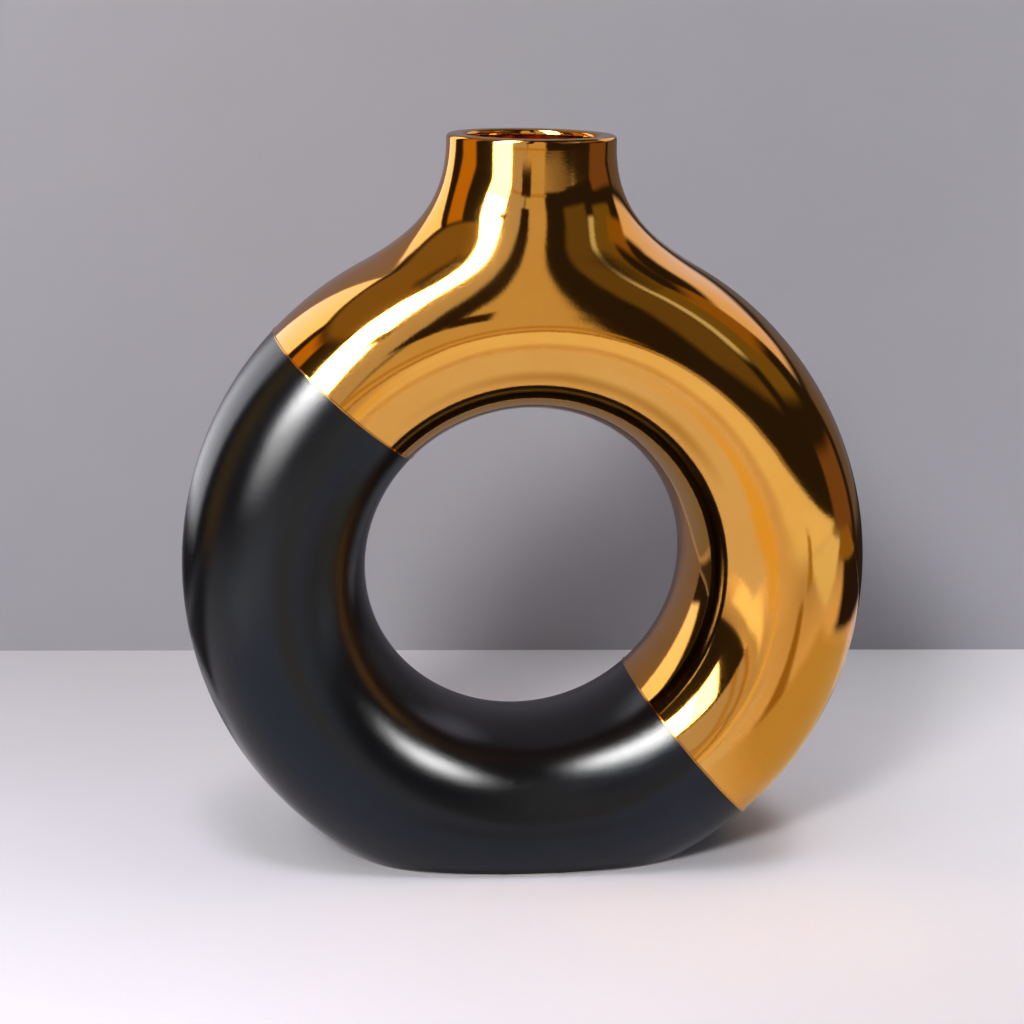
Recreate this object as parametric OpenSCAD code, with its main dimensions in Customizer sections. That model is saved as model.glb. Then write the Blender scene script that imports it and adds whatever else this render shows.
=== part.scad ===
// Ring vase: a hollow ceramic ring with a short round neck, a flat foot and two fired coats.
// Millimetres. X is the width of the ring, Y its depth with the front at -Y, Z is up.
// The origin is the middle of the flat foot, straight below the axis of the neck.

/* [Ring] */
// Outer width of the finished ring
ring_w = 200; // [150:1:260]
// Thickness of the tube between the outer edge of the ring and its hole
tube_w = 53; // [40:0.5:64]
// Depth of the tube from front to back
tube_d = 75; // [60:0.5:90]
// How much smaller the radius of the rounded front and back is than half the tube
round_drop = 2.1; // [0.6:0.1:8]

/* [Foot] */
// Height that the flat foot takes off the bottom of the ring
foot_cut = 14.6; // [8:0.2:20]
// Bare clay left between the foot and the black glaze
bare_foot = 0.8; // [0.4:0.1:3]

/* [Neck] */
// Overall height from the foot to the rim
height = 210; // [190:1:260]
// Outer diameter of the finished neck at the rim
neck_d = 48.4; // [36:0.2:64]
// Reach of the soft shoulder that runs sideways from the neck onto the ring
side_blend = 25; // [12:0.5:32]
// Reach of the soft shoulder at the front and at the back of the neck
front_blend = 14; // [6:0.5:14]
// Rounding of the edges of the rim
rim_round = 1.2; // [0.4:0.1:2]

/* [Clay wall] */
// Thickness of the clay wall
wall = 4.1; // [3:0.1:7]
// Thickness of the clay over the foot
floor_t = 4.8; // [3:0.1:8]

/* [Coats] */
// Thickness of the black glaze and of the gold coat
coat = 0.5; // [0.3:0.05:1]
// Thickness of the clear glaze that lines the inside
lining = 0.5; // [0.2:0.05:0.8]
// Depth that the gold runs down inside the mouth
gold_inside = 12; // [4:0.5:16]

/* [Colour line] */
// Turn of the upper edge of the gold, measured at its square from the X axis
upper_turn = 49; // [30:0.5:60]
// Distance of the upper edge from the middle of the ring
upper_shift = 3.5; // [-10:0.5:10]
// Turn of the lower edge of the gold
lower_turn = 41; // [30:0.5:60]
// Distance of the lower edge from the middle of the ring
lower_shift = 1.5; // [-10:0.5:10]

/* [Smoothness] */
// Flats around the shoulder
sides = 56; // [24:4:72]
// Levels up the shoulder
levels = 10; // [8:1:24]

/* [Hidden] */
$fn = 96;
ring_out = ring_w / 2;
tube_r = ring_out - tube_w / 2;           // radius of the middle line of the tube
ring_z = ring_out - foot_cut;             // height of the middle of the ring
neck_r = neck_d / 2;
top = height - ring_z;                    // rim above the middle of the ring
half_w = tube_w / 2;
tip_r = half_w - round_drop;              // radius of the rounded front and back of the tube
tip_c = tube_d / 2 - tip_r;               // middle of the front rounding, off the middle plane
// Radius of the flatter flanks that meet the front and back roundings without a crease.
flank_r = (tip_c * tip_c + half_w * half_w - tip_r * tip_r) / (2 * round_drop);
flank_c = flank_r - half_w;
// Surfaces of the wall, each a depth under the finished outside.
clay_out = -coat;
clay_in = -coat - wall;
cavity = -coat - wall - lining;
floor_z = floor_t - ring_z;
// The shoulder ends where the neck becomes a plain tube, a little under the rim.
neck_join = min(top - coat - 2 * rim_round - 0.1, sqrt(pow(ring_out + side_blend, 2) - neck_r * neck_r));
gold_end = min(top - gold_inside, neck_join - 1);
low_levels = max(4, round(levels * 0.78));
high_levels = max(2, levels - low_levels);
level_z = concat(
    [for (i = [0:low_levels - 1]) tube_r + (gold_end - tube_r) * i / low_levels],
    [for (i = [0:high_levels]) gold_end + (neck_join - gold_end) * i / high_levels]
);
last = len(level_z) - 1;
tuck = 0.12;                              // keeps the end levels just inside the round parts they meet
far = 4 * ring_w;

// Distance of a point from the finished surface of the tube, negative inside.
function tube_gap(x, y, z) =
    let (p = abs(norm([x, z]) - tube_r), q = abs(y))
    (q - tip_c) * flank_c > p * tip_c
        ? norm([p, q - tip_c]) - tip_r
        : norm([p + flank_c, q]) - flank_r;

// Distance from the surface in which the tube and the neck melt together. The reach of the
// shoulder turns from its side value to its front value around the neck.
function skin_gap(x, y, z) =
    let (
        tube = tube_gap(x, y, z),
        neck = norm([x, y]) - neck_r,
        side = x * x / (x * x + y * y),
        reach = side_blend * side + front_blend * (1 - side),
        share = max(reach - abs(tube - neck), 0) / reach
    )
    min(tube, neck) - share * share * reach / 4;

// Distance from the axis of the neck to the surface that lies `depth` off the finished one.
function reach_out(c, s, z, depth, near, far_end, steps) =
    let (mid = (near + far_end) / 2)
    steps == 0 ? mid
    : skin_gap(mid * c, mid * s, z) < depth ? reach_out(c, s, z, depth, mid, far_end, steps - 1)
    : reach_out(c, s, z, depth, near, mid, steps - 1);

// One level of the shoulder: a closed loop of points around the neck.
function loop(i, depth) =
    let (z = level_z[i])
    [for (k = [0:sides - 1])
        let (
            c = cos(360 * k / sides),
            s = sin(360 * k / sides),
            r = i == last ? neck_r + depth - tuck
                : reach_out(c, s, z, i == 0 ? depth - tuck : depth, 2, ring_out, 20)
        )
        [r * c, r * s, z + ring_z]];

// Oval of the tube in the plane of its depth, moved in or out by `depth`. Four arcs touch
// without a crease: two at the front and back, two wide ones at the flanks.
module oval(depth) {
    for (m = [-1, 1])
        translate([0, m * tip_c])
            circle(r = tip_r + depth);
    intersection() {
        translate([-flank_c, 0])
            circle(r = flank_r + depth, $fn = 240);
        translate([flank_c, 0])
            circle(r = flank_r + depth, $fn = 240);
        square([2 * tube_w, 2 * tip_c * (flank_r + depth) / (flank_r - tip_r)], center = true);
    }
}

// The whole ring as a solid tube, moved in or out by `depth`.
module ring(depth) {
    translate([0, 0, ring_z])
        rotate([90, 0, 0])
            rotate_extrude($fn = 180)
                translate([tube_r, 0])
                    oval(depth);
}

// Everything below the level where the shoulder starts and above the height `low`.
module ring_band(low) {
    translate([-far / 2, -far / 2, low])
        cube([far, far, tube_r + ring_z - low]);
}

// Hollow piece of the shoulder between two depths and two levels.
module shoulder(outer, inner, first, final) {
    rings = final - first + 1;
    points = concat(
        [for (i = [first:final]) each loop(i, outer)],
        [for (i = [first:final]) each loop(i, inner)]
    );
    half = rings * sides;
    faces = concat(
        [for (i = [0:rings - 2]) for (k = [0:sides - 1]) let (
            a = i * sides + k,
            b = i * sides + (k + 1) % sides
        ) each [[a, a + sides, b], [b, a + sides, b + sides]]],
        [for (i = [0:rings - 2]) for (k = [0:sides - 1]) let (
            a = half + i * sides + k,
            b = half + i * sides + (k + 1) % sides
        ) each [[a, b, a + sides], [b, b + sides, a + sides]]],
        [for (k = [0:sides - 1]) [k, (k + 1) % sides, half + (k + 1) % sides, half + k]],
        [for (k = [0:sides - 1]) let (
            a = half - sides + k,
            b = half - sides + (k + 1) % sides
        ) [a, a + half, b + half, b]]
    );
    polyhedron(points, faces, convexity = 6);
}

// Plain end of the neck between two radii, with round top edges.
module rim(inner, outer, high, round_r) {
    translate([0, 0, ring_z])
        rotate_extrude() {
            translate([inner, neck_join])
                square([outer - inner, high - round_r - neck_join]);
            translate([inner + round_r, neck_join])
                square([outer - inner - 2 * round_r, high - neck_join]);
            for (x = [inner + round_r, outer - round_r])
                translate([x, high - round_r])
                    circle(r = round_r, $fn = 64);
        }
}

// Side of the colour line that belongs to the black glaze.
module black_side() {
    translate([0, 0, ring_z])
        intersection() {
            rotate([0, -upper_turn, 0])
                translate([upper_shift - far, -far / 2, -far / 2])
                    cube([far, far, far]);
            rotate([0, -lower_turn, 0])
                translate([lower_shift - far, -far / 2, -far / 2])
                    cube([far, far, far]);
        }
}

// Fired clay: one slip-cast shell, open only at the mouth.
module clay_body() {
    color("wheat") {
        difference() {
            intersection() {
                ring(clay_out);
                ring_band(0);
            }
            intersection() {
                ring(clay_in);
                ring_band(floor_z + ring_z);
            }
        }
        shoulder(clay_out, clay_in, 0, last);
        rim(neck_r + clay_in, neck_r + clay_out, top - coat, rim_round - coat / 2);
    }
}

// Satin black glaze on the lower left of the ring, wiped back above the foot.
module black_glaze() {
    color([0.06, 0.06, 0.07])
        intersection() {
            difference() {
                ring(0);
                ring(clay_out);
            }
            ring_band(bare_foot);
            black_side();
        }
}

// Mirror gold coat on the upper right of the ring, the neck, the rim and the inside of the mouth.
module gold_coat() {
    color([0.85, 0.6, 0.2]) {
        difference() {
            intersection() {
                ring(0);
                ring_band(bare_foot);
            }
            ring(clay_out);
            black_side();
        }
        shoulder(0, clay_out, 0, last);
        shoulder(clay_in, cavity, low_levels, last);
        difference() {
            rim(neck_r + cavity, neck_r, top, rim_round);
            rim(neck_r + clay_in, neck_r + clay_out, top - coat, rim_round - coat / 2);
        }
    }
}

// Clear glaze over the whole inside below the gold of the mouth.
module inner_glaze() {
    color([0.93, 0.9, 0.84]) {
        difference() {
            intersection() {
                ring(clay_in);
                ring_band(floor_z + ring_z);
            }
            intersection() {
                ring(cavity);
                ring_band(floor_z + ring_z + lining);
            }
        }
        shoulder(clay_in, cavity, 0, low_levels);
    }
}

clay_body();
black_glaze();
gold_coat();
inner_glaze();
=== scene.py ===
"""Looks of the ring vase: a hollow ceramic ring, half mirror gold and half satin black.

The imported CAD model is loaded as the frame. The gold coat, the black glaze and the inner glaze are
modelled again here as smooth shells on the same surface that the CAD uses, and the bare clay keeps
its CAD node with a better material.
"""

import logging
import math
from dataclasses import dataclass
from enum import Enum
from typing import Callable, Sequence

import bmesh
import bpy
import numpy as np
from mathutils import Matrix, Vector


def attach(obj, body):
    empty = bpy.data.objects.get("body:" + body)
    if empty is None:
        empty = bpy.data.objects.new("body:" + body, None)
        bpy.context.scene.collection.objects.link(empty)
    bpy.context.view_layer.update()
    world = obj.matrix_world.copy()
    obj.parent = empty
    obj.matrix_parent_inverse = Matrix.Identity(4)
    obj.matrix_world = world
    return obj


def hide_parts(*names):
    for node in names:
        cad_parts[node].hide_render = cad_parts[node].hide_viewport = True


logging.basicConfig(level=logging.INFO, format="%(levelname)s %(message)s")
LOG = logging.getLogger("ring_vase")

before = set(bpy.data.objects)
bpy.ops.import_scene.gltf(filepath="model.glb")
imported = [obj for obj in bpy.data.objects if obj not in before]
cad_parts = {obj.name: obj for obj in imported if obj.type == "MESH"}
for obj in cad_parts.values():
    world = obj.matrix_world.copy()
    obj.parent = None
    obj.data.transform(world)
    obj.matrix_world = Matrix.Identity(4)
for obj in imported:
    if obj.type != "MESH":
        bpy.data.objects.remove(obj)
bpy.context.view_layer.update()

Pair = tuple[float, float]
Triple = tuple[float, float, float]
Scalars = float | np.ndarray
Socket = bpy.types.NodeSocket

UP = (0.0, 0.0, 1.0)
PROBE = 2e-5  # Metres by which the slope of the surface is probed.
SETTLED = 1e-7  # Metres within which a point has reached its surface.
ON_PLANE = 2e-6  # Metres within which a point counts as on a plane or on the surface.
AT_END = 1e-5  # Metres within which an edge counts as at an open end.
TINY = 1e-6  # Metres that keep a radius off zero and tell two points apart.
COAT_ROOM = 4e-5  # Metres left free between a coat and the clay.
LEAST_SLOPE = 0.2  # Least squared steepness that a step reckons with, so that no point jumps far.
FACING = 0.8  # Least cosine between a corner's normal and that of the surface that it lies on.


class Side(Enum):
    """Side of the colour line that a piece of skin lies on."""

    BLACK = "black"
    GOLD = "gold"


class Part(Enum):
    """Part of a mesh that can be picked in edit mode."""

    EDGE = "edges"
    FACE = "faces"


@dataclass(frozen=True)
class Line:
    """One part of the colour line: a plane square to the front that cuts the ring.

    Attributes:
        turn: Direction square to the plane, in degrees from the X axis.
        shift: Distance of the plane from the middle of the ring.
        sign: 1 for the part above the middle of the ring, -1 for the part below.
    """

    turn: float
    shift: float
    sign: float

    @property
    def normal(self) -> Triple:
        """Direction square to the plane, towards the gold."""
        return math.cos(math.radians(self.turn)), 0.0, math.sin(math.radians(self.turn))

    def off(self, x: Scalars, z: Scalars) -> Scalars:
        """Distance of places from the plane, positive on the gold side."""
        c, _, s = self.normal
        return x * c + z * s - self.shift

    def along(self, x: Scalars, z: Scalars) -> Scalars:
        """Distance of places from the middle of the ring, along the plane."""
        c, _, s = self.normal
        return self.sign * (z * c - x * s)


@dataclass(frozen=True)
class VaseForm:
    """Sizes of the vase in metres, as in part.scad, and the smooth surface that they make.

    Ring coordinates, and heights that are named z, count from the middle of the ring. `mid_z` lifts
    them to the frame.

    Attributes:
        ring_r: Outer radius of the ring.
        half_w: Half the thickness of the tube between the ring's edge and its hole.
        half_d: Half the depth of the tube from front to back.
        tip_r: Radius of the rounded front and back of the tube.
        foot_cut: Height that the flat foot takes off the ring.
        height: Overall height.
        neck_r: Outer radius of the neck.
        neck_from: Depth under the top of the tube's middle line down to which the neck counts.
        side_blend: Reach of the soft shoulder at the sides of the neck.
        front_blend: Reach of the soft shoulder at the front and the back.
        rim_round: Rounding of the edges of the rim.
        spare: Height kept free between the shoulder and the rounding of the rim.
        coat: Thickness of each coat.
        inner_depth: Depth of the inside under the finished outside.
        gold_inside: Depth that the gold runs down inside the mouth.
        bare_foot: Height of the bare clay over the foot.
        floor_t: Thickness of the clay over the foot.
        lines: Upper and lower part of the colour line.
        line_start: Distance from the middle of the ring beyond which a part of the line counts.
        near_line: Distance on each side of the line, and height over the foot, that its cut reaches.
    """

    ring_r: float = 0.100
    half_w: float = 0.0265
    half_d: float = 0.0375
    tip_r: float = 0.0244
    foot_cut: float = 0.0146
    height: float = 0.210
    neck_r: float = 0.0242
    neck_from: float = 0.004
    side_blend: float = 0.025
    front_blend: float = 0.014
    rim_round: float = 0.0012
    spare: float = 0.0001
    coat: float = 0.0005
    inner_depth: float = 0.0051
    gold_inside: float = 0.012
    bare_foot: float = 0.0008
    floor_t: float = 0.0048
    lines: tuple[Line, Line] = (Line(49.0, 0.0035, 1.0), Line(41.0, 0.0015, -1.0))
    line_start: float = 0.01
    near_line: float = 0.012

    @property
    def tube_r(self) -> float:
        """Radius of the middle line of the tube."""
        return self.ring_r - self.half_w

    @property
    def mid_z(self) -> float:
        """Height of the middle of the ring above the foot."""
        return self.ring_r - self.foot_cut

    @property
    def top(self) -> float:
        """Height of the rim above the middle of the ring."""
        return self.height - self.mid_z

    @property
    def join(self) -> float:
        """Height at which the neck turns into its plain end."""
        return self.top - self.coat - 2 * self.rim_round - self.spare

    def tube_gap(self, pts: np.ndarray) -> np.ndarray:
        """Distance of each point from the finished tube, negative inside.

        Args:
            pts: N x 3 points in ring coordinates.
        Returns:
            N signed distances.
        """
        tip_c = self.half_d - self.tip_r
        flank_r = (tip_c**2 + self.half_w**2 - self.tip_r**2) / (2 * (self.half_w - self.tip_r))
        flank_c = flank_r - self.half_w
        p = np.abs(np.hypot(pts[:, 0], pts[:, 2]) - self.tube_r)
        q = np.abs(pts[:, 1])
        at_tip = (q - tip_c) * flank_c > p * tip_c
        return np.where(at_tip, np.hypot(p, q - tip_c) - self.tip_r, np.hypot(p + flank_c, q) - flank_r)

    def skin_gap(self, pts: np.ndarray) -> np.ndarray:
        """Distance of each point from the surface in which the tube and the neck melt together.

        Args:
            pts: N x 3 points in ring coordinates.
        Returns:
            N signed distances.
        """
        tube = self.tube_gap(pts)
        rho = np.maximum(np.hypot(pts[:, 0], pts[:, 1]), TINY)
        neck = rho - self.neck_r
        share_x = (pts[:, 0] / rho) ** 2
        reach = self.side_blend * share_x + self.front_blend * (1 - share_x)
        share = np.maximum(reach - np.abs(tube - neck), 0) / reach
        melted = np.minimum(tube, neck) - share * share * reach / 4
        return np.where(pts[:, 2] > self.tube_r - self.neck_from, melted, tube)

    def slope(self, pts: np.ndarray) -> np.ndarray:
        """Direction and steepness, at each point, in which the distance from the surface grows."""
        sides = [(self.skin_gap(pts + e) - self.skin_gap(pts - e)) / (2 * PROBE) for e in PROBE * np.eye(3)]
        return np.stack(sides, axis=1)

    def settle(
        self, pts: np.ndarray, depth: float, normal: Triple = (0.0, 0.0, 0.0), steps: int = 16
    ) -> np.ndarray:
        """Draws points onto the surface that lies `depth` off the finished one.

        Args:
            pts: N x 3 points in ring coordinates.
            depth: Offset of the wanted surface, negative inwards.
            normal: Direction square to the plane that each point stays in, or zeros for no plane.
            steps: Most rounds of correction.
        Returns:
            The moved points.
        """
        out = pts.astype(float).copy()
        hold = np.array(normal)
        for _ in range(steps):
            gap = self.skin_gap(out) - depth
            slope = self.slope(out)
            slope -= (slope @ hold)[:, None] * hold
            out -= (gap / np.maximum((slope**2).sum(1), LEAST_SLOPE))[:, None] * slope
            if np.all(np.abs(gap) < SETTLED):
                break
        return out

    def settle_on_lines(self, pts: np.ndarray) -> np.ndarray:
        """Draws the points that the cuts made onto the surface, and keeps them in the planes of the cuts.

        Args:
            pts: N x 3 points in ring coordinates.
        Returns:
            All points, with those of the cuts moved.
        """
        out = pts.copy()
        for line in self.lines:
            x, z = out[:, 0], out[:, 2]
            on = (np.abs(line.off(x, z)) < ON_PLANE) & (line.along(x, z) > self.line_start)
            out[on] = self.settle(out[on], 0.0, line.normal)
        foot = np.abs(out[:, 2] + self.mid_z - self.bare_foot) < ON_PLANE
        out[foot] = self.settle(out[foot], 0.0, UP)
        return out

    def side_of(self, place: Vector) -> Side:
        """Side of the colour line on which a place in the frame lies."""
        off = max(line.off(place.x, place.z - self.mid_z) for line in self.lines)
        return Side.GOLD if off > 0 else Side.BLACK


FORM = VaseForm()


def select_only(obj: bpy.types.Object) -> None:
    """Selects one object and makes it the active one.

    Args:
        obj: The object, the only one that is then selected.
    """
    bpy.ops.object.select_all(action="DESELECT")
    bpy.context.view_layer.objects.active = obj
    obj.select_set(True)


class Edit:
    """Edit mode on one object, with every other object deselected."""

    def __init__(self, obj: bpy.types.Object) -> None:
        """Keeps the object that is to be edited."""
        self.obj = obj

    def __enter__(self) -> bpy.types.Object:
        """Starts edit mode.

        Returns:
            The object that is edited.
        """
        select_only(self.obj)
        bpy.ops.object.mode_set(mode="EDIT")
        return self.obj

    def __exit__(self, *_: object) -> None:
        """Leaves edit mode."""
        bpy.ops.object.mode_set(mode="OBJECT")
        bpy.ops.object.select_all(action="DESELECT")


def pick(obj: bpy.types.Object, part: Part, test: Callable[[Vector], bool]) -> int:
    """Selects the edges or faces of a mesh in edit mode whose middle passes a test.

    Args:
        obj: Object in edit mode.
        part: Edges or faces.
        test: Takes the middle of each one in object space.
    Returns:
        How many were selected.
    """
    bpy.ops.mesh.select_mode(type=part.name)
    bpy.ops.mesh.select_all(action="DESELECT")
    mesh = bmesh.from_edit_mesh(obj.data)
    count = 0
    for item in getattr(mesh, part.value):
        if part is Part.EDGE:
            middle = (item.verts[0].co + item.verts[1].co) / 2
        else:
            middle = item.calc_center_median()
        if test(middle):
            item.select_set(True)
            count += 1
    mesh.select_flush_mode()
    bmesh.update_edit_mesh(obj.data)
    return count


def pick_open_edges() -> None:
    """Selects the open edges of the mesh in edit mode."""
    bpy.ops.mesh.select_mode(type="EDGE")
    bpy.ops.mesh.select_all(action="DESELECT")
    bpy.ops.mesh.select_non_manifold()


def above(height: float) -> Callable[[Vector], bool]:
    """Gives a test that is true for places at a height in the frame, and over it."""
    return lambda place: place.z > height - AT_END


def extrude(rise: float) -> None:
    """Extrudes what is selected in edit mode, and moves it straight up."""
    bpy.ops.mesh.extrude_region_move(TRANSFORM_OT_translate={"value": (0, 0, rise)})


def points_of(obj: bpy.types.Object) -> np.ndarray:
    """Reads the places of all vertices of a mesh.

    Args:
        obj: The mesh object.
    Returns:
        N x 3 points in ring coordinates.
    """
    flat = np.empty(len(obj.data.vertices) * 3)
    obj.data.vertices.foreach_get("co", flat)
    pts = flat.reshape(-1, 3)
    pts[:, 2] -= FORM.mid_z
    return pts


def put_points(obj: bpy.types.Object, pts: np.ndarray) -> None:
    """Writes the places of all vertices back to a mesh.

    Args:
        obj: The mesh object.
        pts: N x 3 points in ring coordinates.
    """
    out = pts.copy()
    out[:, 2] += FORM.mid_z
    obj.data.vertices.foreach_set("co", out.ravel())
    obj.data.update()


@dataclass
class SkinCage:
    """Quad cage of the ring with its neck, modelled step by step and then drawn onto the surface.

    Attributes:
        around: Segments round the ring.
        across: Segments round the tube.
        cut: Segments on each side of the top that make room for the neck.
        levels: Rounds of subdivision.
        rounds: Most rounds of drawing the points onto the surface.
        lift: Height over the tube at which the neck starts.
        rise: Share of the way down from the top of each loop of the neck, and its flare in metres.
        end_zone: Height under the open end in which all points are put level with it.
    """

    around: int = 64
    across: int = 32
    cut: int = 4
    levels: int = 2
    rounds: int = 12
    lift: float = 0.001
    rise: tuple[Pair, ...] = ((0.86, 0.0095), (0.62, 0.0055), (0.38, 0.0026), (0.16, 0.0009), (0.0, 0.0))
    end_zone: float = 0.0004

    def build(self, name: str, depth: float) -> bpy.types.Object:
        """Makes the skin at one depth, open at the top of the neck.

        Args:
            name: Name of the new object.
            depth: Offset from the finished surface, negative inwards.
        Returns:
            The new mesh object.
        """
        bpy.ops.object.select_all(action="DESELECT")
        bpy.ops.mesh.primitive_torus_add(
            major_segments=self.around,
            minor_segments=self.across,
            major_radius=FORM.tube_r,
            minor_radius=FORM.half_w + depth,
            location=(0, 0, FORM.mid_z),
            rotation=(math.pi / 2, 0, 0),
        )
        obj = bpy.context.object
        obj.name = obj.data.name = name
        bpy.ops.object.transform_apply(location=True, rotation=True, scale=True)
        stretch = (FORM.half_d + depth) / (FORM.half_w + depth)
        span = self.cut * 2 * math.pi / self.around
        turn = self.cut * 2 * math.pi / self.across

        def under_neck(mid: Vector) -> bool:
            """Tells whether a face of the tube lies under the neck.

            Args:
                mid: Middle of the face.
            Returns:
                True for a face that makes room for the neck.
            """
            z = mid.z - FORM.mid_z
            off = math.atan2(mid.x, z)
            out = math.atan2(mid.y / stretch, math.hypot(mid.x, z) - FORM.tube_r)
            return abs(off) < span and abs(out) < turn

        with Edit(obj):
            bpy.ops.mesh.select_all(action="SELECT")
            bpy.ops.transform.resize(value=(1, stretch, 1), center_override=(0, 0, FORM.mid_z))
            found = pick(obj, Part.FACE, under_neck)
            bpy.ops.mesh.delete(type="FACE")
            self._raise_neck(obj, depth)
        LOG.info("%s: cage with %d faces cut away under the neck", name, found)
        smooth = obj.modifiers.new("smooth", "SUBSURF")
        smooth.levels = smooth.render_levels = self.levels
        bpy.context.view_layer.objects.active = obj
        bpy.ops.object.modifier_apply(modifier="smooth")
        pts = FORM.settle(points_of(obj), depth, steps=self.rounds)
        pts[pts[:, 2] > FORM.join - self.end_zone, 2] = FORM.join
        put_points(obj, pts)
        return obj

    def _raise_neck(self, obj: bpy.types.Object, depth: float) -> None:
        """Draws the open edge of the cage up into a round neck, loop by loop.

        Args:
            obj: The cage, in edit mode.
            depth: Offset from the finished surface, negative inwards.
        """
        base = FORM.tube_r + FORM.half_w + depth + self.lift
        pick_open_edges()
        for share, flare in self.rise:
            z = FORM.join - (FORM.join - base) * share
            radius = FORM.neck_r + depth + flare
            extrude(self.lift)
            mesh = bmesh.from_edit_mesh(obj.data)
            for v in (v for v in mesh.verts if v.select):
                angle = math.atan2(v.co.y, v.co.x)
                v.co = Vector((radius * math.cos(angle), radius * math.sin(angle), z + FORM.mid_z))
            bmesh.update_edit_mesh(obj.data)


def copy_of(obj: bpy.types.Object, name: str) -> bpy.types.Object:
    """Copies an object together with its mesh.

    Args:
        obj: Object to copy.
        name: Name of the copy and of its mesh.
    Returns:
        The copy.
    """
    select_only(obj)
    bpy.ops.object.duplicate()
    out = bpy.context.object
    out.name = out.data.name = name
    return out


def cut_plane(
    obj: bpy.types.Object, spot: Sequence[float], normal: Sequence[float], near: Callable[[Vector], bool]
) -> None:
    """Cuts the faces of a mesh in edit mode along a plane and keeps both sides.

    Args:
        obj: Object in edit mode.
        spot: A point of the plane.
        normal: Direction square to the plane.
        near: Picks the faces that may be cut, by their middle.
    """
    pick(obj, Part.FACE, near)
    bpy.ops.mesh.bisect(plane_co=spot, plane_no=normal, use_fill=False)


def thicken(obj: bpy.types.Object, offset: float) -> None:
    """Gives an open skin the wall of a coat with closed edges.

    Args:
        obj: The skin.
        offset: -1 for a wall on the inner side of the skin, 1 for one on its outer side.
    """
    wall = obj.modifiers.new("wall", "SOLIDIFY")
    wall.thickness, wall.offset = FORM.coat - COAT_ROOM, offset
    wall.use_even_offset = True
    bpy.context.view_layer.objects.active = obj
    bpy.ops.object.modifier_apply(modifier="wall")


def smooth_shade(obj: bpy.types.Object, angle: float = 40.0) -> None:
    """Shades a piece smooth apart from its creases.

    Args:
        obj: The piece.
        angle: Turn in degrees from which on an edge stays a crease.
    """
    select_only(obj)
    bpy.ops.object.shade_smooth_by_angle(angle=math.radians(angle))
    bpy.ops.object.select_all(action="DESELECT")


def true_normals(obj: bpy.types.Object) -> None:
    """Gives the corners on the vase's own surface the exact normals of that surface.

    Args:
        obj: The finished piece.
    """
    mesh = obj.data
    pts = points_of(obj)
    slope = FORM.slope(pts)
    slope /= np.linalg.norm(slope, axis=1, keepdims=True)
    on_skin = (np.abs(FORM.skin_gap(pts)) < ON_PLANE) & (pts[:, 2] < FORM.join + TINY)
    corners = np.empty(len(mesh.loops), dtype=np.int32)
    mesh.loops.foreach_get("vertex_index", corners)
    normals = np.array([c.vector[:] for c in mesh.corner_normals])
    lean = (normals * slope[corners]).sum(1)
    use = on_skin[corners] & (np.abs(lean) > FACING)
    normals[use] = slope[corners][use] * np.sign(lean[use])[:, None]
    mesh.normals_split_custom_set(normals.tolist())


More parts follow.
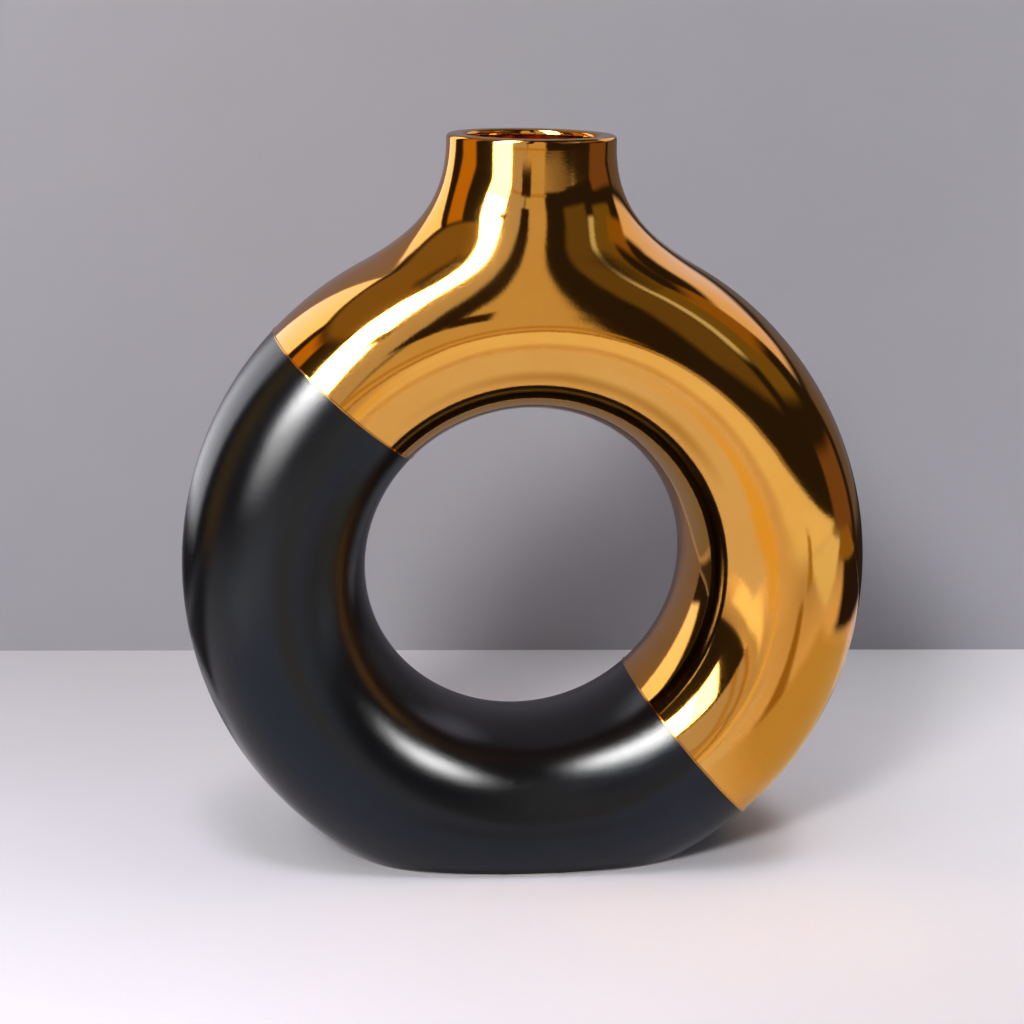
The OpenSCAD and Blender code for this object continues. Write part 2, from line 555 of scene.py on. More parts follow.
@dataclass
class Coats:
    """The two fired coats, cut from one skin along the colour line.

    Attributes:
        bead: Radius of the raised edge of the gold.
        arc_steps: Segments of the roundings of the rim.
        mouth_loops: Loops of the gold inside the mouth.
    """

    bead: float = 0.00028
    arc_steps: int = 6
    mouth_loops: int = 6

    def build(self) -> tuple[bpy.types.Object, bpy.types.Object]:
        """Makes the black and the gold coat.

        Returns:
            The black piece and the gold piece.
        """
        skin = SkinCage().build("black_skin", 0.0)
        with Edit(skin):
            self._cut_lines(skin)
        gold = copy_of(skin, "gold_skin")
        self._keep(skin, Side.BLACK)
        self._keep(gold, Side.GOLD)
        edge = self._edge_bead(gold)
        self._roll_rim(gold)
        for obj in (skin, gold):
            thicken(obj, -1.0)
            smooth_shade(obj)
            true_normals(obj)
        select_only(gold)
        edge.select_set(True)
        bpy.ops.object.join()
        return skin, gold

    @staticmethod
    def _cut_lines(obj: bpy.types.Object) -> None:
        """Cuts the skin along both parts of the colour line and round the bare foot.

        Args:
            obj: The skin, in edit mode.
        """
        for line in FORM.lines:

            def near(mid: Vector, line: Line = line) -> bool:
                """True close to the line, on the side of the ring that it crosses."""
                z = mid.z - FORM.mid_z
                return line.along(mid.x, z) > FORM.line_start and abs(line.off(mid.x, z)) < FORM.near_line

            c, _, s = line.normal
            cut_plane(obj, (line.shift * c, 0, line.shift * s + FORM.mid_z), line.normal, near)
        cut_plane(obj, (0, 0, FORM.bare_foot), UP, lambda mid: mid.z < FORM.near_line)

    @staticmethod
    def _keep(obj: bpy.types.Object, side: Side) -> None:
        """Removes the faces that a coat doesn't have: past the colour line, and on the bare foot.

        Args:
            obj: The skin.
            side: Side of the colour line that stays.
        """
        with Edit(obj):
            pick(obj, Part.FACE, lambda mid: FORM.side_of(mid) is not side or mid.z < FORM.bare_foot)
            bpy.ops.mesh.delete(type="FACE")
        put_points(obj, FORM.settle_on_lines(points_of(obj)))

    def _edge_bead(self, gold: bpy.types.Object) -> bpy.types.Object:
        """Makes the slightly raised edge that the gold has along the colour line.

        Args:
            gold: The skin of the gold.
        Returns:
            The edge, a round bead along all open edges but the mouth.
        """
        bead = copy_of(gold, "gold_edge")
        at_mouth = above(FORM.mid_z + FORM.join)
        with Edit(bead):
            pick_open_edges()
            mesh = bmesh.from_edit_mesh(bead.data)
            for e in mesh.edges:
                if at_mouth((e.verts[0].co + e.verts[1].co) / 2):
                    e.select_set(False)
            mesh.select_flush_mode()
            bmesh.update_edit_mesh(bead.data)
            bpy.ops.mesh.select_all(action="INVERT")
            bpy.ops.mesh.delete(type="EDGE")
        select_only(bead)
        bpy.ops.object.convert(target="CURVE")
        bead.data.bevel_depth = self.bead
        bead.data.bevel_resolution = 2
        bead.data.use_fill_caps = True
        bpy.ops.object.convert(target="MESH")
        smooth_shade(bead, 60)
        return bead

    def _roll_rim(self, gold: bpy.types.Object) -> None:
        """Runs the gold up over the rounded rim and down into the mouth.

        Args:
            gold: The skin of the gold, open at the top of the neck.
        """
        top = FORM.top + FORM.mid_z
        with Edit(gold):
            pick(gold, Part.EDGE, above(FORM.mid_z + FORM.join))
            extrude(top - FORM.mid_z - FORM.join)
            extrude(0)
            share = (FORM.neck_r - FORM.inner_depth) / FORM.neck_r
            bpy.ops.transform.resize(value=(share, share, 1), center_override=(0, 0, top))
            for _ in range(self.mouth_loops):
                extrude(-FORM.gold_inside / self.mouth_loops)
            mesh = bmesh.from_edit_mesh(gold.data)
            pick(gold, Part.EDGE, above(top))
            for e in mesh.edges:
                wide = abs(e.verts[0].co.xy.length - e.verts[1].co.xy.length)
                if e.select and wide > FORM.inner_depth / 2:
                    e.select_set(False)
            bmesh.update_edit_mesh(gold.data)
            bpy.ops.mesh.bevel(
                offset=FORM.rim_round, segments=self.arc_steps, affect="EDGES", clamp_overlap=False
            )
            bpy.ops.mesh.select_all(action="SELECT")
            bpy.ops.mesh.remove_doubles(threshold=TINY)
            bpy.ops.mesh.normals_make_consistent(inside=False)
        pts = points_of(gold)
        in_bore = np.hypot(pts[:, 0], pts[:, 1]) < FORM.neck_r - FORM.inner_depth / 2
        inside = in_bore & (pts[:, 2] > FORM.ring_r) & (pts[:, 2] < FORM.join)
        pts[inside] = FORM.settle(pts[inside], -FORM.inner_depth, UP)
        put_points(gold, pts)


@dataclass
class InnerGlaze:
    """Clear glaze that lines the inside.

    Attributes:
        stop: Height in the frame at which it meets the gold of the mouth.
        floor: Height in the frame of its flat floor.
    """

    stop: float = FORM.top - FORM.gold_inside + FORM.mid_z
    floor: float = FORM.floor_t + FORM.coat

    def build(self) -> bpy.types.Object:
        """Makes the lining as a thin closed wall.

        Returns:
            The new piece.
        """
        obj = SkinCage().build("inner_skin", -FORM.inner_depth)
        with Edit(obj):
            for height, keep_low in ((self.stop, True), (self.floor, False)):
                bpy.ops.mesh.select_mode(type="FACE")
                bpy.ops.mesh.select_all(action="SELECT")
                bpy.ops.mesh.bisect(
                    plane_co=(0, 0, height), plane_no=UP, use_fill=not keep_low,
                    clear_outer=keep_low, clear_inner=not keep_low,
                )
            bpy.ops.mesh.select_all(action="SELECT")
            bpy.ops.mesh.normals_make_consistent(inside=False)
        thicken(obj, 1.0)
        smooth_shade(obj)
        return obj


class Nodes:
    """A node tree that is filled step by step."""

    def __init__(self, tree: bpy.types.NodeTree) -> None:
        """Keeps the tree that the nodes go into."""
        self.tree = tree

    def add(self, kind: str, *feeds: object, **values: object) -> bpy.types.Node:
        """Adds a node, sets its properties, and gives each input a value or links a socket to it.

        Args:
            kind: Blender's name of the node type.
            *feeds: Values or sockets for its first inputs, in order.
            **values: Properties, or values and sockets for inputs as `in_Name_Of_Input`.
        Returns:
            The new node.
        """
        node = self.tree.nodes.new(kind)
        inputs: dict[int | str, object] = dict(enumerate(feeds))
        for key, value in values.items():
            if key.startswith("in_"):
                inputs[key[3:].replace("_", " ")] = value
            else:
                setattr(node, key, value)
        for key, value in inputs.items():
            if isinstance(value, Socket):
                self.tree.links.new(value, node.inputs[key])
            else:
                node.inputs[key].default_value = value
        return node

    def maths(self, operation: str, *feeds: Socket | float) -> Socket:
        """Adds a Math node and gives its result."""
        return self.add("ShaderNodeMath", *feeds, operation=operation).outputs["Value"]

    def mixed(self, share: Socket, none: Socket, full: Socket) -> Socket:
        """Adds a Mix Shader node and gives its result: `none` at a share of 0, `full` at 1."""
        return self.add("ShaderNodeMixShader", share, none, full).outputs["Shader"]

    def tones(self, factor: Socket, ends: Pair, dark: Sequence[float], light: Sequence[float]) -> Socket:
        """Gives a colour that runs from dark to light while a factor runs between two ends.

        Args:
            factor: Socket that gives the factor.
            ends: Factors at which the colour starts and stops to change.
            dark: Linear colour up to the first end.
            light: Linear colour from the second end on.
        Returns:
            The socket that gives the colour.
        """
        ramp = self.add("ShaderNodeValToRGB", factor)
        for stop, position, color in zip(ramp.color_ramp.elements, ends, (dark, light)):
            stop.position, stop.color = position, (*color, 1)
        return ramp.outputs["Color"]


def new_material(name: str) -> tuple[bpy.types.Material, Nodes]:
    """Makes a material without nodes.

    Args:
        name: Name of the material.
    Returns:
        The material and its tree.
    """
    mat = bpy.data.materials.new(name)
    mat.use_nodes = True
    mat.node_tree.nodes.clear()
    return mat, Nodes(mat.node_tree)


def new_group(name: str, takes: dict[str, str], gives: dict[str, str]) -> Nodes:
    """Makes a shader node group without nodes.

    Args:
        name: Name of the group.
        takes: Kind of each input, by its name.
        gives: Kind of each output, by its name.
    Returns:
        The tree of the group.
    """
    tree = bpy.data.node_groups.new(name, "ShaderNodeTree")
    for way, sockets in (("INPUT", takes), ("OUTPUT", gives)):
        for label, kind in sockets.items():
            tree.interface.new_socket(name=label, in_out=way, socket_type=f"NodeSocket{kind}")
    return Nodes(tree)


def grain_group() -> bpy.types.NodeTree:
    """Builds the group of a fired glaze's slow clouds, fine grain and soft waves, or gives the one there.

    Returns:
        The group, with a mask for the colour, one for the sheen, and a normal.
    """
    name = "glaze grain"
    if name in bpy.data.node_groups:
        return bpy.data.node_groups[name]
    sizes = ("Grain Size", "Grain Depth", "Swell Size", "Swell Depth")
    n = new_group(
        name,
        {"Place": "Vector", **dict.fromkeys(sizes, "Float")},
        {"Clouds": "Float", "Sheen": "Float", "Normal": "Vector"},
    )
    given = n.add("NodeGroupInput").outputs
    place = given["Place"]
    cloud = n.add("ShaderNodeTexNoise", in_Vector=place, in_Scale=38.0, in_Detail=4.0, in_Roughness=0.62)
    fine = n.add(
        "ShaderNodeTexNoise", in_Vector=place, in_Scale=given["Grain Size"], in_Detail=3.0, in_Roughness=0.6
    )
    swell = n.add(
        "ShaderNodeTexNoise", in_Vector=place, in_Scale=given["Swell Size"], in_Detail=1.0, in_Roughness=0.4
    )
    low = n.add(
        "ShaderNodeBump", in_Strength=given["Swell Depth"], in_Distance=0.001, in_Height=swell.outputs["Fac"]
    )
    high = n.add(
        "ShaderNodeBump",
        in_Strength=given["Grain Depth"], in_Distance=0.0001,
        in_Height=fine.outputs["Fac"], in_Normal=low.outputs["Normal"],
    )
    n.add(
        "NodeGroupOutput",
        in_Clouds=cloud.outputs["Fac"],
        in_Sheen=n.maths("ADD", cloud.outputs["Fac"], fine.outputs["Fac"]),
        in_Normal=high.outputs["Normal"],
    )
    return n.tree


def edge_group() -> bpy.types.NodeTree:
    """Builds the group of a panel's wandering edges, or gives the one there.

    Returns:
        The group, with a mask that is 1 in the middle of a panel and fades to 0 along its edges.
    """
    name = "fading edges"
    if name in bpy.data.node_groups:
        return bpy.data.node_groups[name]
    n = new_group(name, {"Start X": "Float", "Start Y": "Float", "Wobble": "Vector"}, {"Mask": "Float"})
    given = n.add("NodeGroupInput").outputs
    place = n.add("ShaderNodeTexCoord").outputs
    cloud = n.add("ShaderNodeTexNoise", in_Vector=place["Object"], in_Scale=5.0, in_Detail=3.0)
    centred = n.add("ShaderNodeVectorMath", cloud.outputs["Color"], (0.5, 0.5, 0.5), operation="SUBTRACT")
    moved = n.add(
        "ShaderNodeVectorMath", centred.outputs["Vector"], given["Wobble"], place["UV"],
        operation="MULTIPLY_ADD",
    )
    parts = n.add("ShaderNodeSeparateXYZ", moved.outputs["Vector"]).outputs
    sides = [
        n.add(
            "ShaderNodeMapRange", n.maths("ABSOLUTE", n.maths("SUBTRACT", parts[axis], 0.5)),
            in_From_Min=given[f"Start {axis}"], in_From_Max=0.5, in_To_Min=1, in_To_Max=0,
            interpolation_type="SMOOTHSTEP",
        ).outputs["Result"]
        for axis in "XY"
    ]
    n.add("NodeGroupOutput", in_Mask=n.maths("MULTIPLY", *sides))
    return n.tree


@dataclass(frozen=True)
class Glaze:
    """A fired finish with a grain, two close colours and a varying sheen.

    Attributes:
        name: Name of the material.
        slot: Material slot of the record; not used.
        light: Lighter of its two colours, linear.
        dark: Darker of its two colours, linear.
        rough: Lowest and highest roughness.
        metallic: 1 for the gold, 0 otherwise.
        grain: Size number and depth of the fine grain.
        swell: Size number and depth of the slow waves of the hand-finished form.
        ior: Index of refraction.
        shine: Specular level, 0.5 for a bare refraction index.
    """

    name: str
    slot: str
    light: Triple
    dark: Triple
    rough: Pair
    metallic: float = 0.0
    grain: Pair = (1400.0, 0.3)
    swell: Pair = (55.0, 0.1)
    ior: float = 1.5
    shine: float = 0.5

    def material(self) -> bpy.types.Material:
        """Builds the material, or gives the one that is there.

        Returns:
            The material.
        """
        if self.name in bpy.data.materials:
            return bpy.data.materials[self.name]
        mat, n = new_material(self.name)
        place = n.add("ShaderNodeTexCoord").outputs["Object"]
        grain = n.add("ShaderNodeGroup", place, *self.grain, *self.swell, node_tree=grain_group()).outputs
        low, high = self.rough
        sheen = n.add(
            "ShaderNodeMapRange", grain["Sheen"],
            in_From_Min=0.6, in_From_Max=1.4, in_To_Min=low, in_To_Max=high,
        )
        shader = n.add(
            "ShaderNodeBsdfPrincipled",
            in_Base_Color=n.tones(grain["Clouds"], (0.3, 0.72), self.dark, self.light),
            in_Metallic=self.metallic,
            in_Roughness=sheen.outputs["Result"],
            in_IOR=self.ior,
            in_Specular_IOR_Level=self.shine,
            in_Normal=grain["Normal"],
        )
        n.add("ShaderNodeOutputMaterial", in_Surface=shader.outputs["BSDF"])
        return mat

    def dress(self, obj: bpy.types.Object) -> None:
        """Gives a piece this finish alone."""
        obj.data.materials.clear()
        obj.data.materials.append(self.material())


GOLD_LUSTRE = Glaze(
    "gold lustre", "gold_lustre", (0.88, 0.40, 0.07), (0.83, 0.355, 0.055), (0.045, 0.085),
    metallic=1.0, grain=(1500.0, 0.05), swell=(70.0, 0.055),
)
SATIN_BLACK = Glaze(
    "satin black glaze", "black_glaze", (0.0050, 0.0050, 0.0060), (0.0030, 0.0030, 0.0036), (0.12, 0.18),
    grain=(2400.0, 0.5), swell=(60.0, 0.05), shine=0.31,
)
BARE_CLAY = Glaze(
    "bare fired clay", "bare_clay", (0.83, 0.79, 0.73), (0.74, 0.69, 0.61), (0.75, 0.95),
    grain=(1800.0, 0.8), swell=(90.0, 0.1),
)
CLEAR_GLAZE = Glaze(
    "clear glaze on clay", "clear_glaze", (0.80, 0.75, 0.66), (0.72, 0.66, 0.56), (0.10, 0.22),
    grain=(900.0, 0.1), swell=(80.0, 0.1),
)


@dataclass(frozen=True)
class Matt:
    """A matt studio surface with faint clouds in its colour.

    Attributes:
        name: Name of the material.
        color: Middle colour, linear.
        rough: Roughness.
        mottle: Share by which the colour varies.
        scale: Size number of the clouds.
        open_back: True to see through it from behind.
    """

    name: str
    color: Triple
    rough: float
    mottle: float
    scale: float
    open_back: bool = False

    def material(self) -> bpy.types.Material:
        """Builds the material.

        Returns:
            The material.
        """
        mat, n = new_material(self.name)
        cloud = n.add(
            "ShaderNodeTexNoise",
            in_Vector=n.add("ShaderNodeTexCoord").outputs["Object"],
            in_Scale=self.scale,
            in_Detail=5.0,
            in_Roughness=0.55,
        )
        dark, light = ([c * share for c in self.color] for share in (1 - self.mottle, 1 + self.mottle))
        surface = n.add(
            "ShaderNodeBsdfPrincipled",
            in_Base_Color=n.tones(cloud.outputs["Fac"], (0.3, 0.7), dark, light),
            in_Roughness=self.rough,
            in_Specular_IOR_Level=0.0,
        ).outputs["BSDF"]
        if self.open_back:
            behind = n.add("ShaderNodeNewGeometry").outputs["Backfacing"]
            surface = n.mixed(behind, surface, n.add("ShaderNodeBsdfTransparent").outputs["BSDF"])
        n.add("ShaderNodeOutputMaterial", in_Surface=surface)
        return mat


@dataclass(frozen=True)
class Panel:
    """A studio panel that only shows in reflections.

    Attributes:
        name: Name of the panel.
        color: Linear colour of its light.
        soft: Width of its fading edges, in the unit of its sizes.
        wobble: How far its edges wander, as a share of the panel.
        again: Share of its light that is left in a second reflection.
    """

    name: str
    color: Triple
    soft: float = 3.0
    wobble: float = 0.06
    again: float = 0.3

    def extent(self) -> Pair:
        """Width and height, in the unit of the soft edges."""
        raise NotImplementedError

    def spot(self, u: float, w: float) -> Vector:
        """Place in the room of one point, by its shares of the width and the height."""
        raise NotImplementedError

    def light(self) -> bpy.types.Material:
        """Builds its light, which fades along its edges and is dimmer in a second reflection.

        Returns:
            The material.
        """
        mat, n = new_material(self.name)
        starts = (0.5 - min(0.5, self.soft / size) for size in self.extent())
        edges = n.add("ShaderNodeGroup", *starts, (self.wobble, self.wobble, 0), node_tree=edge_group())
        bounces = n.add("ShaderNodeLightPath").outputs["Glossy Depth"]
        strength = n.maths("MULTIPLY_ADD", n.maths("GREATER_THAN", bounces, 1.5), self.again - 1.0, 1.0)
        glow = n.add("ShaderNodeEmission", in_Color=(*self.color, 1), in_Strength=strength)
        clear = n.add("ShaderNodeBsdfTransparent")
        both = n.mixed(edges.outputs["Mask"], clear.outputs["BSDF"], glow.outputs["Emission"])
        n.add("ShaderNodeOutputMaterial", in_Surface=both)
        return mat

    def build(self) -> bpy.types.Object:
        """Makes the panel as a grid of faces.

        Returns:
            The new object.
        """
        bpy.ops.object.select_all(action="DESELECT")
        bpy.ops.mesh.primitive_grid_add(x_subdivisions=16, y_subdivisions=3, size=2)
        obj = bpy.context.object
        obj.name = obj.data.name = self.name
        for v in obj.data.vertices:
            v.co = self.spot((v.co.x + 1) / 2, (v.co.y + 1) / 2)
        obj.data.materials.append(self.light())
        for ray in ("camera", "diffuse", "shadow", "transmission", "volume_scatter"):
            setattr(obj, f"visible_{ray}", False)
        return obj


@dataclass(frozen=True)
class Card(Panel):
    """A panel that stands curved round the vase.

    Attributes:
        turn: Lowest and highest direction round the vase in degrees, 0 to the viewer, 90 to the right.
        rise: Lowest and highest direction above the middle of the ring in degrees.
        away: Distance from the middle of the ring in metres.
        lean: Turn of its top edge against its bottom edge in degrees.
    """

    turn: Pair = (0, 10)
    rise: Pair = (0, 10)
    away: float = 1.5
    lean: float = 0.0

    def extent(self) -> Pair:
        """Width and height in degrees."""
        return self.turn[1] - self.turn[0], self.rise[1] - self.rise[0]

    def spot(self, u: float, w: float) -> Vector:
        """Finds one point of the panel.

        Args:
            u: Its share of the width, from the left.
            w: Its share of the height, from below.
        Returns:
            Its place in the room.
        """
        a = math.radians(self.turn[0] + (self.turn[1] - self.turn[0]) * u + self.lean * w)
        e = math.radians(self.rise[0] + (self.rise[1] - self.rise[0]) * w)
        return Vector((math.sin(a), -math.cos(a), math.tan(e))) * self.away + Vector((0, 0, FORM.mid_z))


@dataclass(frozen=True)
class Board(Panel):
    """A panel that lies flat, a little above the table.

    Attributes:
        x: Lowest and highest place across the table in metres.
        y: Lowest and highest place along the table in metres.
        high: Height over the table in metres.
        skew: Sideways move of its far edge against its near edge in metres.
    """

    x: Pair = (0, 0.1)
    y: Pair = (0, 0.1)
    high: float = 0.0015
    skew: float = 0.0

    def extent(self) -> Pair:
        """Width and depth in metres."""
        return self.x[1] - self.x[0], self.y[1] - self.y[0]

    def spot(self, u: float, w: float) -> Vector:
        """Finds one point of the panel.

        Args:
            u: Its share of the width, from the left.
            w: Its share of the depth, from the viewer's side.
        Returns:
            Its place in the room.
        """
        x = self.x[0] + (self.x[1] - self.x[0]) * u + self.skew * w
        y = self.y[0] + (self.y[1] - self.y[0]) * w
        return Vector((x, y, self.high))


def around(turn: float, rise: float, away: float) -> Triple:
    """Finds a place round the vase.

    Args:
        turn: Direction round the vase in degrees, 0 to the viewer, 90 to the right.
        rise: Direction above the middle of the ring in degrees.
        away: Distance from the middle of the ring in metres.
    Returns:
        The place in the room.
    """
    a, e = math.radians(turn), math.radians(rise)
    flat = math.cos(e) * away
    return math.sin(a) * flat, -math.cos(a) * flat, math.sin(e) * away + FORM.mid_z


@dataclass(frozen=True)
class Lamp:
    """A rectangular soft lamp that either shows in reflections or lights the matt surfaces.

    Attributes:
        name: Name of the lamp.
        spot: Its place.
        aim: The point that it faces.
        size: Width and height.
        glow: Brightness of its face, where 1 is white.
        color: Colour of its light.
        spread: Angle of its beam in degrees.
        shiny: True for a lamp that shows in reflections, False for one that lights matt surfaces.
        black_only: True for a lamp that only the black piece shows.
    """

    name: str
    spot: Triple
    aim: Triple
    size: Pair
    glow: float
    color: Triple = (1, 1, 1)
    spread: float = 180.0
    shiny: bool = False
    black_only: bool = False

    def build(self) -> bpy.types.Object:
        """Adds the lamp to the scene.

        Returns:
            The new object.
        """
        data = bpy.data.lights.new(self.name, "AREA")
        data.shape, data.size, data.size_y = "RECTANGLE", *self.size
        data.energy = self.glow * math.pi * self.size[0] * self.size[1]
        data.color = self.color
        data.spread = math.radians(self.spread)
        obj = bpy.data.objects.new(self.name, data)
        bpy.context.collection.objects.link(obj)
        obj.location = self.spot
        obj.rotation_euler = (Vector(self.aim) - Vector(self.spot)).to_track_quat("-Z", "Y").to_euler()
        obj.visible_camera = False
        obj.visible_glossy = self.shiny
        obj.visible_diffuse = not self.shiny
        return obj


# Point a little behind the lower part of the vase that the wide lamps for matt surfaces face.
MATT_AIM = (0, 0.05, 0.08)


@dataclass
class Studio:
    """Table, wall, lamps, panels and camera.

    Attributes:
        wide: Half the width of the table and the wall in metres.
        tall: Half the height of the wall.
        deep: Half the depth of the table.
        far_left: Left end, in the picture, of the line where the wall meets the table.
        far_right: Its right end.
        mirror_ends: Ends of the wall that reflections show, along that line from its middle.
        overlap: How far the wall and the table run past that line.
        wall: Finish of the wall.
        mirrored: Finish of the wall that reflections show, darker than the wall: painted shade.
        table: Finish of the table.
        room_color: Linear colour of the room around.
        beyond_color: Linear colour that the picture shows behind the table.
        lens: Focal length of the camera in millimetres, for a picture 36 mm wide.
        view_spot: Place of the camera.
        view_turn: Turn of the camera in degrees.
        panels: Panels that only show in reflections.
        lamps: The lamps.
    """

    wide: float = 1.6
    tall: float = 0.8
    deep: float = 1.4
    far_left: Triple = (-0.1235, 0.1997, 0)
    far_right: Triple = (0.1666, 0.1837, 0)
    mirror_ends: Pair = (-0.165, 0.085)
    overlap: float = 0.02
    wall: Matt = Matt("grey wall", (0.345, 0.34, 0.37), rough=0.9, mottle=0.02, scale=9.0, open_back=True)
    # The wall that reflections show gets a darker colour than the wall: painted shade.
    mirrored: Matt = Matt("dim wall", (0.22, 0.21, 0.24), rough=0.9, mottle=0.02, scale=9.0)
    table: Matt = Matt("pale table", (0.64, 0.62, 0.655), rough=0.8, mottle=0.015, scale=14.0)
    room_color: Triple = (0.022, 0.020, 0.022)
    beyond_color: Triple = (0.42, 0.42, 0.46)
    lens: float = 81.97
    view_spot: Triple = (-0.08247, -0.66131, 0.25731)
    view_turn: Triple = (76.714, -0.945, -6.561)

    panels: tuple[Panel, ...] = (
        Card(
            "key strip", (50, 50, 50), 0.5,
            turn=(-57.9, -32.1), rise=(21.7, 70.2), away=0.438, wobble=0.0, again=0.07,
        ),
        Card("pale window", (1.5, 1.5, 1.6), 3, turn=(-168, -131), rise=(-8, 45), away=0.6, lean=15.0),
        Card("amber door", (0.55, 0.30, 0.03), 5, turn=(-112, -83), rise=(-8, 46), away=0.8),
        Card("olive ceiling", (0.23, 0.18, 0.08), 4, turn=(-152, -60), rise=(44, 70), away=0.8),
        Card("key top", (9.0, 9.0, 9.0), 1.5, turn=(-90, -34), rise=(70.5, 77), away=0.45),
        Card("strip notch", (0.20, 0.17, 0.09), 1.5, turn=(-37, -28), rise=(35, 42), away=0.4),
        Card("neck post", (0.03, 0.02, 0.01), 1.5, turn=(-18, -6), rise=(40, 45.7), away=0.11, wobble=0.0),
        Card("pale curtain", (0.53, 0.57, 0.80), 3, turn=(-36, -11), rise=(-5, 74)),
        Card("room behind", (0.62, 0.60, 0.55), 3, turn=(-14, 12), rise=(-5, 63), lean=5.0),
        Card("far table", (0.46, 0.31, 0.06), 1, turn=(-36, 14), rise=(-5, -1.2), away=1.4),
        Card("warm skirting", (0.50, 0.37, 0.10), 2, turn=(-36, 14), rise=(0.4, 4.8), away=1.42),
        Card("post", (0.02, 0.015, 0.02), 2, away=1.4, turn=(-16, -5), rise=(17, 66), lean=6.0),
        Card("brown room", (0.13, 0.11, 0.06), 6, turn=(30, 62), rise=(14, 62)),
        Card("thin lamp", (0.62, 0.80, 1.1), 5.5, turn=(58, 71), rise=(28, 60)),
        Card("olive room", (0.17, 0.15, 0.05), 6, turn=(66, 98), rise=(18, 60)),
        Card("rust wall", (0.18, 0.11, 0.07), 5, turn=(74, 112), rise=(-8, 13), away=1.2),
        Card("amber room", (0.28, 0.17, 0.03), 6, turn=(84, 116), rise=(30, 54), away=0.9),
        Card("pink wall", (0.82, 0.80, 0.92), 5, turn=(106, 168), rise=(21, 46), away=0.5),
        # Painted shade: a dark sheet for the shaded lower part of the wall at the right, shown only in
        # reflections.
        Card("low wall", (0.13, 0.12, 0.12), 5, turn=(112, 174), rise=(-8, 20), away=0.55),
        Board("white board", (1.3, 1.45, 1.6), 0.08, x=(-0.46, -0.09), y=(-0.60, -0.12)),
        Board("pale board", (0.90, 1.0, 1.12), 0.12, x=(-0.06, 1.6), y=(-1.35, -0.33), high=0.0018),
        Board("near board", (0.83, 0.97, 1.12), 0.05, x=(0.27, 0.95), y=(-0.42, -0.13), high=0.0021),
        # Painted shade: a dimmer, bluer copy of the table near the vase, shown only in reflections.
        Board("cool cloth", (0.75, 0.82, 1.12), 0.04, x=(-0.22, 0.10), y=(-0.31, -0.02), high=0.0024),
        # A dim olive sheet on the table at the right of the vase, shown only in reflections.
        Board("olive cloth", (0.55, 0.52, 0.34), 0.05, x=(0.055, 0.27), y=(-0.17, 0.09), high=0.0027),
        Board("warm patch", (0.85, 0.72, 0.32), 0.04, x=(-0.085, 0.03), y=(-0.37, -0.17), high=0.003),
        Board("yellow line", (0.88, 0.80, 0.46), 0.02, x=(-0.015, 0.03), y=(-0.80, -0.34), high=0.0033),
        Board(
            "brown streak", (0.34, 0.24, 0.07), 0.016,
            x=(0.15, 0.20), y=(-0.30, -0.125), skew=-0.065, high=0.0036,
        ),
        Board(
            "far streak", (0.42, 0.33, 0.08), 0.02,
            x=(0.36, 0.43), y=(-0.52, -0.29), skew=-0.165, high=0.0036,
        ),
        Board("foot shade", (0.52, 0.50, 0.50), 0.045, x=(-0.06, 0.06), y=(-0.125, -0.035), high=0.004),
        Board("dark floor right", (0.02, 0.015, 0.02), 0.05, x=(0.23, 0.60), y=(-0.08, 0.22)),
        Board("brown floor right", (0.27, 0.19, 0.05), 0.05, x=(0.55, 1.6), y=(-0.18, 0.22), high=0.0012),
        Board("dark floor left", (0.05, 0.045, 0.045), 0.03, x=(-0.8, -0.12), y=(0.03, 0.22)),
        Board("shade behind", (0.22, 0.23, 0.26), 0.03, x=(-0.14, 0.16), y=(0.042, 0.20)),
    )
    lamps: tuple[Lamp, ...] = (
        Lamp("key foot", (-0.31, -0.31, 0.21), (-0.02, -0.02, 0.21), (0.2, 0.11), 11.0, shiny=True),
        Lamp(
            "right strip", (0.193, -0.194, 0.251), (-0.03, -0.032, 0.035), (0.09, 0.12), 44.0,
            shiny=True, black_only=True,
        ),
        Lamp("main", around(-28, 32, 3.2), MATT_AIM, (0.66, 0.66), 54.0),
        Lamp("strip glow", (-0.30, -0.30, 0.44), (-0.02, -0.02, 0.44), (0.17, 0.62), 1.4),
        Lamp("right top", (0.45, -0.1, 0.9), (0, 0, 0), (0.5, 0.5), 1.0),
        Lamp("right front", around(30, 25, 1.2), MATT_AIM, (0.6, 0.6), 0.9),
        Lamp("left side", around(-85, 45, 0.8), MATT_AIM, (0.4, 0.4), 2.6),
        Lamp(
            "left table", (-0.18, -0.24, 0.8), (-0.18, -0.22, 0), (0.2, 0.2), 3.3,
            color=(1, 0.95, 1.05), spread=50,
        ),
        Lamp("right table", (0.30, -0.02, 0.8), (0.26, 0, 0), (0.2, 0.2), 2.1, spread=45),
    )

    def build(self, black: bpy.types.Object) -> None:
        """Sets up the whole studio.

        Args:
            black: The black piece, which alone shows the small lamp at the right.
        """
        self._room()
        for panel in self.panels:
            panel.build()
        for lamp in self.lamps:
            obj = lamp.build()
            if lamp.black_only:
                only = bpy.data.collections.new("only " + black.name)
                only.objects.link(black)
                obj.light_linking.receiver_collection = only
        self._world()
        self._camera()
        bpy.context.scene.view_settings.view_transform = "Standard"

    def _world(self) -> None:
        """Surrounds the studio with a dim room that looks pale behind the table."""
        world = bpy.data.worlds.new("room")
        bpy.context.scene.world = world
        world.use_nodes = True
        world.node_tree.nodes.clear()
        n = Nodes(world.node_tree)
        room, beyond = (
            n.add("ShaderNodeBackground", in_Color=(*color, 1)).outputs["Background"]
            for color in (self.room_color, self.beyond_color)
        )
        seen = n.add("ShaderNodeLightPath").outputs["Is Camera Ray"]
        n.add("ShaderNodeOutputWorld", in_Surface=n.mixed(seen, room, beyond))

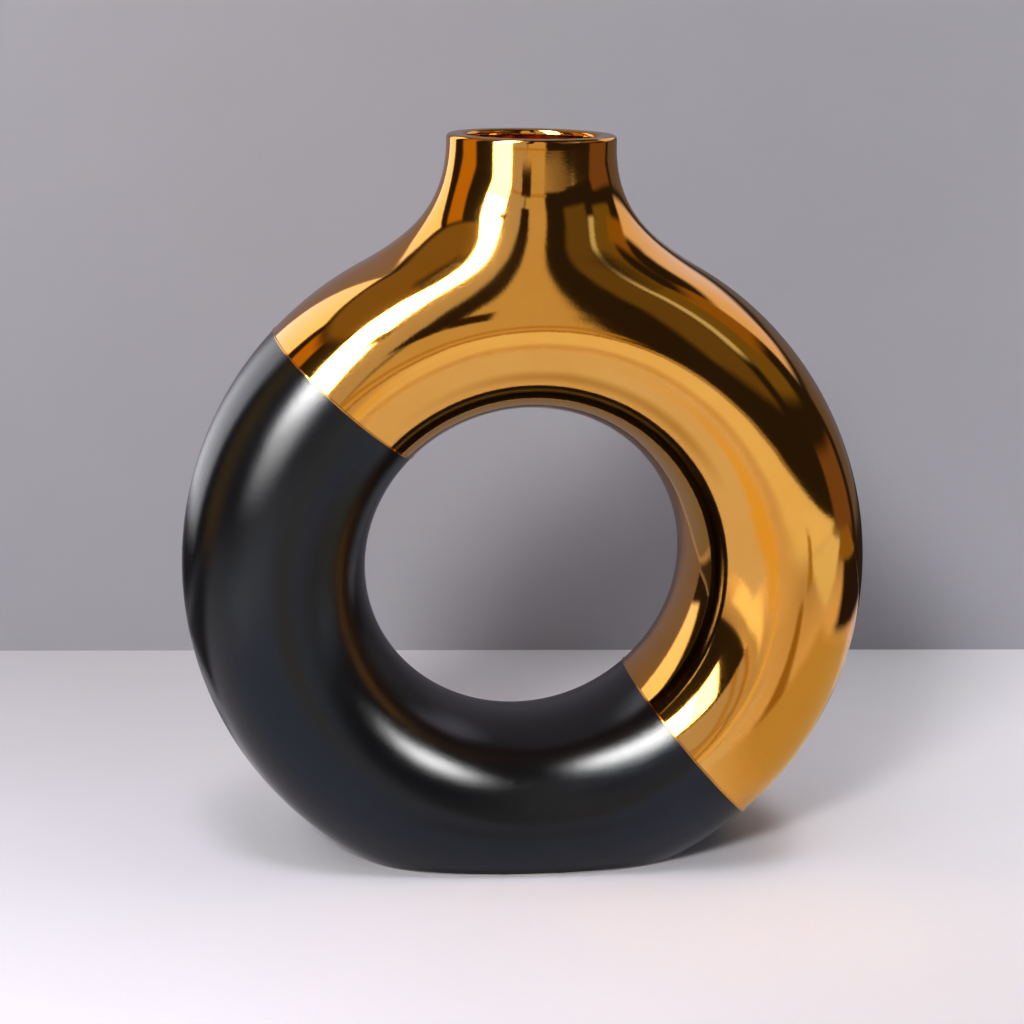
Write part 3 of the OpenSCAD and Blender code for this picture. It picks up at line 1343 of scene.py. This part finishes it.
    def _plane(
        self, name: str, finish: Matt, ends: Pair, way: Vector, half: float, ahead: float = 0.0
    ) -> bpy.types.Object:
        """Adds a flat surface that starts at the line where the wall meets the table.

        Args:
            name: Name of the surface.
            finish: Its finish.
            ends: Its left and right end along the line, from the middle of the line.
            way: Direction in which it runs from the line.
            half: Half its length in that direction.
            ahead: How far it stands in front of the line.
        Returns:
            The new object.
        """
        left, right = Vector(self.far_left), Vector(self.far_right)
        along = (right - left).normalized()
        start = (left + right) / 2 + Vector((along.y, -along.x, 0)) * ahead - way * self.overlap
        bpy.ops.object.select_all(action="DESELECT")
        bpy.ops.mesh.primitive_plane_add(size=2)
        obj = bpy.context.object
        obj.name = obj.data.name = name
        for v in obj.data.vertices:
            v.co = start + along * ends[int(v.co.x > 0)] + way * ((v.co.y + 1) * half)
        obj.data.materials.append(finish.material())
        return obj

    def _room(self) -> None:
        """Makes the table top, the wall behind it, and the narrower, darker wall that reflections show:
        painted shade.
        """
        along = (Vector(self.far_right) - Vector(self.far_left)).normalized()
        nearer, up, full = Vector((along.y, -along.x, 0)), Vector(UP), (-self.wide, self.wide)
        wall = self._plane("studio_wall", self.wall, full, up, self.tall)
        mirrored = self._plane(
            "studio_wall_in_reflections", self.mirrored, self.mirror_ends, up, self.tall, ahead=0.001
        )
        self._plane("studio_table", self.table, full, nearer, self.deep)
        wall.visible_glossy = False
        mirrored.visible_camera = mirrored.visible_diffuse = mirrored.visible_shadow = False

    def _camera(self) -> None:
        """Places the camera at the viewing angle of the picture."""
        data = bpy.data.cameras.new("camera")
        data.lens, data.sensor_width, data.sensor_height = self.lens, 36.0, 36.0
        obj = bpy.data.objects.new("camera", data)
        bpy.context.collection.objects.link(obj)
        obj.location = self.view_spot
        obj.rotation_euler = [math.radians(v) for v in self.view_turn]
        bpy.context.scene.camera = obj


def main() -> None:
    """Builds the looks around the frame and reports each piece."""
    black, gold = Coats().build()
    inner = InnerGlaze().build()
    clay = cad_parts["clay_body"]
    for obj, node, finish in (
        (black, "black_glaze", SATIN_BLACK),
        (gold, "gold_coat", GOLD_LUSTRE),
        (inner, "inner_glaze", CLEAR_GLAZE),
    ):
        finish.dress(obj)
        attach(obj, "root")
        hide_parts(node)
        LOG.info("%s: %d faces, finish %s", obj.name, len(obj.data.polygons), finish.name)
    BARE_CLAY.dress(clay)
    LOG.info("%s: %d faces, finish %s", clay.name, len(clay.data.polygons), BARE_CLAY.name)
    Studio().build(black)


if __name__ == "__main__":
    main()
